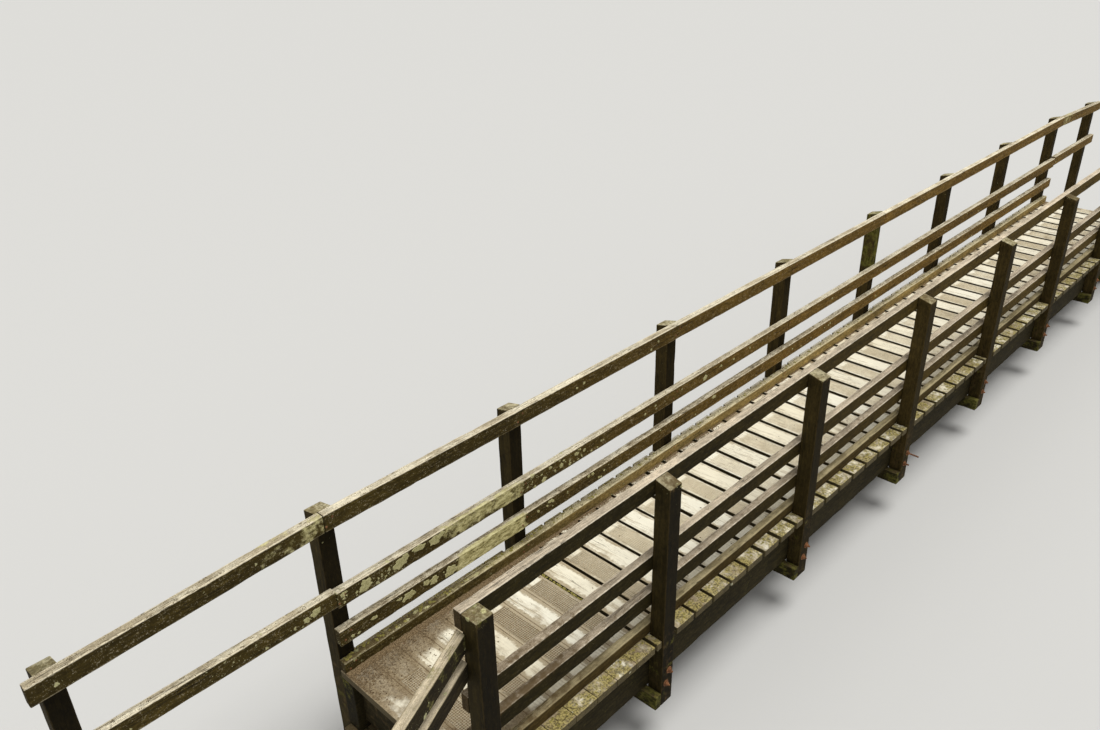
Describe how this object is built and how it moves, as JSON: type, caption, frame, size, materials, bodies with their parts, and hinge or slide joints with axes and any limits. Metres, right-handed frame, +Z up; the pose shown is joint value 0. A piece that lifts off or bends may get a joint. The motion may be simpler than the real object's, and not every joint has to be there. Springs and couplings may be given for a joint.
{
  "type": "timber footbridge",
  "caption": "Straight timber footbridge with post and rail parapets, cross-laid boards on two deep beams, sleeper bank seats and flared approach fences.",
  "frame": {"origin": "middle of the underside of the left bank seat, on the level ground", "axes": "+X along the bridge towards the right bank, +Y across it towards the far parapet, +Z up"},
  "size_m": [13.173, 1.7847, 1.825],
  "materials": {
    "beam_timber": "matt",
    "sleeper_timber": "matt",
    "deck_timber": "matt",
    "post_timber": "matt",
    "rail_timber": "matt",
    "kerb_timber": "matt"
  },
  "bodies": {
    "root": {"approach_post_far_left": "post_timber", "approach_post_far_right": "post_timber", "approach_post_near_left": "post_timber", "approach_post_near_right": "post_timber", "approach_rails_far_left": "rail_timber", "approach_rails_far_right": "rail_timber", "approach_rails_near_left": "rail_timber", "approach_rails_near_right": "rail_timber", "bank_sleeper_left_1": "sleeper_timber", "bank_sleeper_left_2": "sleeper_timber", "bank_sleeper_left_3": "sleeper_timber", "bank_sleeper_right_1": "sleeper_timber", "bank_sleeper_right_2": "sleeper_timber", "bank_sleeper_right_3": "sleeper_timber", "beam_spacers": "beam_timber", "cross_bearers": "beam_timber", "deck_boards_bay_1": "deck_timber", "deck_boards_bay_2": "deck_timber", "deck_boards_bay_3": "deck_timber", "deck_boards_bay_4": "deck_timber", "deck_boards_bay_5": "deck_timber", "deck_boards_bay_6": "deck_timber", "deck_boards_bay_7": "deck_timber", "handrail_far": "rail_timber", "handrail_near": "rail_timber", "kerb_rail_far": "kerb_timber", "kerb_rail_near": "kerb_timber", "lower_rail_far": "rail_timber", "lower_rail_near": "rail_timber", "main_beam_far": "beam_timber", "main_beam_near": "beam_timber", "parapet_posts_1": "post_timber", "parapet_posts_2": "post_timber", "parapet_posts_3": "post_timber", "parapet_posts_4": "post_timber", "parapet_posts_5": "post_timber", "parapet_posts_6": "post_timber", "parapet_posts_7": "post_timber", "parapet_posts_8": "post_timber", "upper_rail_far": "rail_timber", "upper_rail_near": "rail_timber"}
  },
  "joints": []
}
